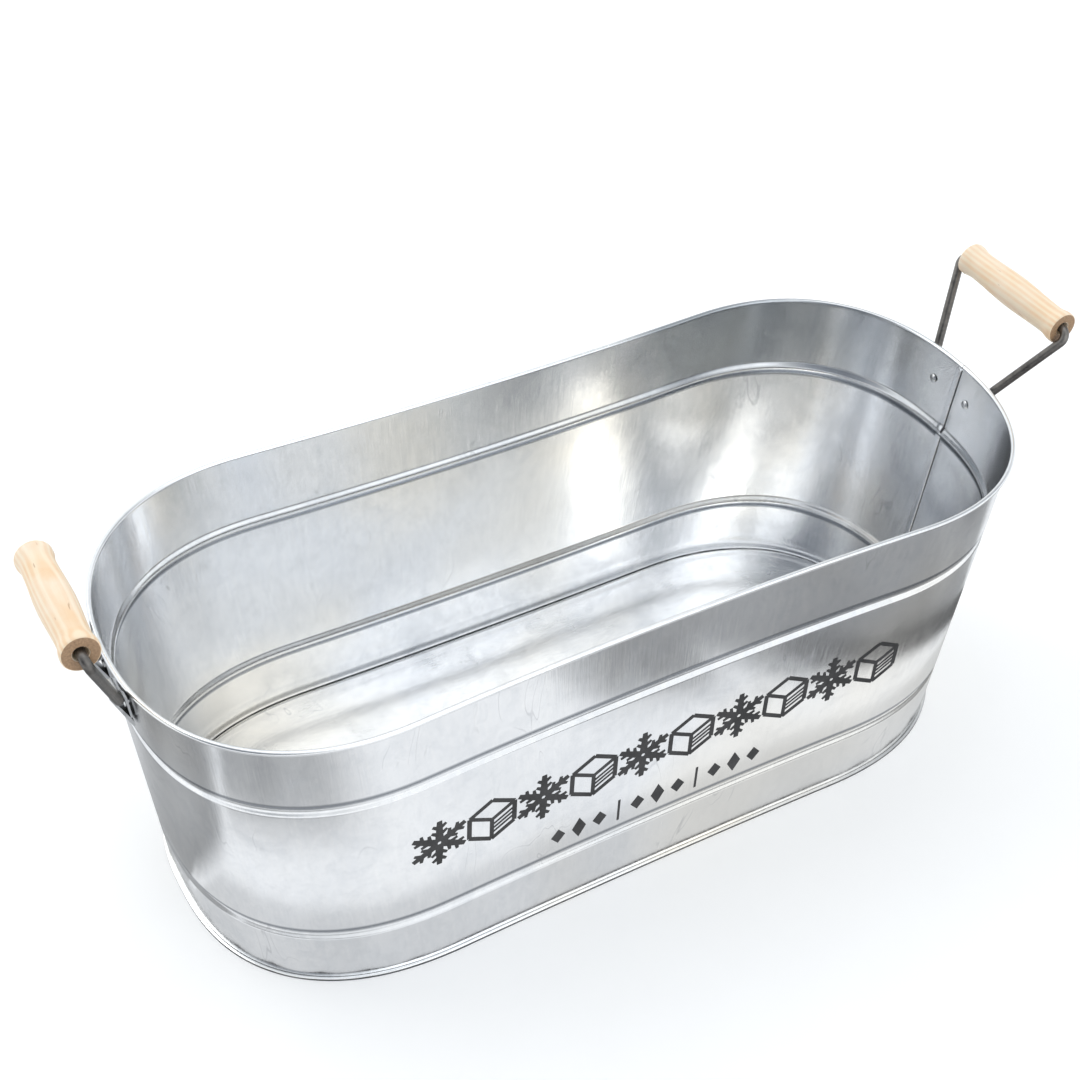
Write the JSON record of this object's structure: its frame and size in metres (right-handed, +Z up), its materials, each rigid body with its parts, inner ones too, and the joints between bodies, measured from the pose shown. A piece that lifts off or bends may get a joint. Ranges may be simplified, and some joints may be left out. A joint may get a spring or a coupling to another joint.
{
  "type": "drinks tub",
  "caption": "Long oval galvanised sheet tub with a rolled rim, two rolled beads, a lock seam and a seamed-in floor, with hinged wire bails that carry turning wooden grips.",
  "frame": {"origin": "middle of the base, on the surface that the tub stands on", "axes": "+X along the tub towards the end with the lock seam, +Y across it, +Z up"},
  "size_m": [0.6404, 0.2392, 0.2695],
  "materials": {
    "galvanised_wall": "bright galvanised sheet, rolled grain running up the wall, faint scratches",
    "galvanised_floor": "bright galvanised sheet, slightly wavy",
    "rim_steel": "plain drawn steel, hidden in the rolled rim",
    "ear_steel": "galvanised strip, dull",
    "rivet_steel": "bright domed rivet heads",
    "bail_wire": "dark drawn steel wire",
    "grip_wood": "turned pale wood, plain, with end grain at both ends",
    "print_ink": "matt black printing ink, for a printed ornament on the long front wall"
  },
  "bodies": {
    "tub": {"tub_wall": "galvanised_wall", "bottom_pan": "galvanised_floor", "rim_wire": "rim_steel", "ear_left_front": "ear_steel", "ear_left_back": "ear_steel", "ear_right_front": "ear_steel", "ear_right_back": "ear_steel", "rivet_left_front": "rivet_steel", "rivet_left_back": "rivet_steel", "rivet_right_front": "rivet_steel", "rivet_right_back": "rivet_steel"},
    "left_bail": {"bail_left": "bail_wire"},
    "left_grip": {"grip_left": "grip_wood"},
    "right_bail": {"bail_right": "bail_wire"},
    "right_grip": {"grip_right": "grip_wood"}
  },
  "joints": [
    {"name": "right_bail_hinge", "type": "hinge", "parent": "tub", "child": "right_bail", "pos_m": [0.2855, 0, 0.2005], "axis": [0, 1, 0], "range_deg": [-28, 148]},
    {"name": "left_bail_hinge", "type": "hinge", "parent": "tub", "child": "left_bail", "pos_m": [-0.2855, 0, 0.2005], "axis": [0, -1, 0], "range_deg": [-15.5, 161]},
    {"name": "right_grip_turn", "type": "hinge", "parent": "right_bail", "child": "right_grip", "pos_m": [0.31628, 0, 0.2549], "axis": [0, 1, 0], "continuous": true},
    {"name": "left_grip_turn", "type": "hinge", "parent": "left_bail", "child": "left_grip", "pos_m": [-0.30217, 0, 0.25501], "axis": [0.031, 0.9944, -0.1014], "continuous": true}
  ]
}
